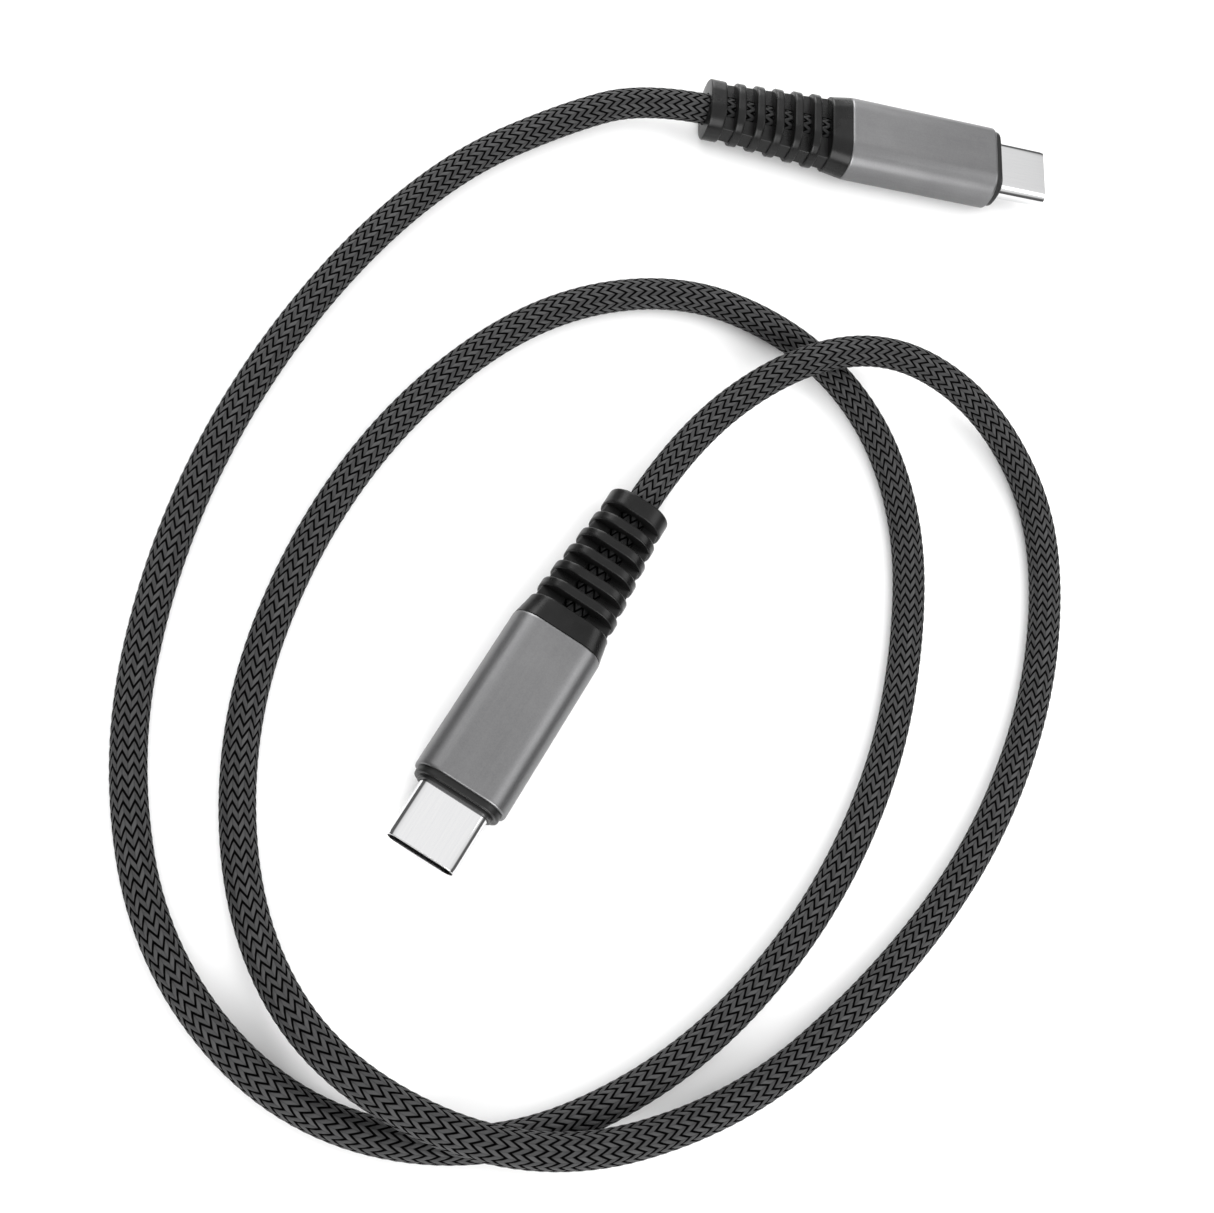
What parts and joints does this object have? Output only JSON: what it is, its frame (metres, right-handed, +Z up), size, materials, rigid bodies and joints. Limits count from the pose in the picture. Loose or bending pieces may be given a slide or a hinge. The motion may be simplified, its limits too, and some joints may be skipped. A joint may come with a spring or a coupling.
{
  "type": "charging cable",
  "caption": "Braided charging cable lying in two loops, with a flat oval steel plug, grey aluminium sleeve and ribbed black strain relief at both ends.",
  "frame": {"origin": "on the floor, at the middle of the box that holds the two plugs", "axes": "+Z up; +Y along the longer side of that box, towards plug b; +X to the right, the way plug b points"},
  "size_m": [0.1114, 0.1321, 0.0114],
  "materials": {
    "shell_steel": "mirror-bright drawn steel",
    "housing_aluminium": "satin grey anodised, fine bead-blasted grain",
    "nose_plastic": "black moulded plastic, soft sheen",
    "boot_rubber": "black soft plastic, satin sheen",
    "braid_fabric": "dark grey herringbone braid with black zigzag lines",
    "jacket_rubber": "plain black inner jacket",
    "lining_plastic": "black moulded insulator",
    "contact_gold": "gold flash on copper alloy",
    "spring_steel": "stamped spring steel",
    "board_green": "green solder mask",
    "chip_black": "black moulded chip package",
    "capacitor_tan": "tan ceramic",
    "wire_insulation": "coloured wire insulation",
    "can_steel": "tinned drawn steel",
    "mould_plastic": "natural white mould"
  },
  "bodies": {
    "root": {"plug_shell_a": "shell_steel", "plug_shell_b": "shell_steel", "contact_lining_a": "lining_plastic", "contact_lining_b": "lining_plastic", "upper_contacts_a": "contact_gold", "upper_contacts_b": "contact_gold", "lower_contacts_a": "contact_gold", "lower_contacts_b": "contact_gold", "latch_plate_a": "spring_steel", "latch_plate_b": "spring_steel", "ground_springs_a": "spring_steel", "ground_springs_b": "spring_steel", "paddle_board_a": "board_green", "paddle_board_b": "board_green", "board_chip_a": "chip_black", "board_chip_b": "chip_black", "board_capacitors_a": "capacitor_tan", "board_capacitors_b": "capacitor_tan", "wire_ends_a": "wire_insulation", "wire_ends_b": "wire_insulation", "shield_can_upper_a": "can_steel", "shield_can_upper_b": "can_steel", "shield_can_lower_a": "can_steel", "shield_can_lower_b": "can_steel", "crimp_ring_a": "can_steel", "crimp_ring_b": "can_steel", "inner_mould_a": "mould_plastic", "inner_mould_b": "mould_plastic", "nose_collar_a": "nose_plastic", "nose_collar_b": "nose_plastic", "housing_sleeve_a": "housing_aluminium", "housing_sleeve_b": "housing_aluminium", "strain_relief_a": "boot_rubber", "strain_relief_b": "boot_rubber", "cable_end_braid_a": "braid_fabric", "cable_end_braid_b": "braid_fabric", "cable_end_jacket_a": "jacket_rubber", "cable_end_jacket_b": "jacket_rubber", "cable_end_wires_a": "wire_insulation", "cable_end_wires_b": "wire_insulation", "cable_braid": "braid_fabric", "cable_jacket": "jacket_rubber", "cable_wires": "wire_insulation"}
  },
  "joints": []
}
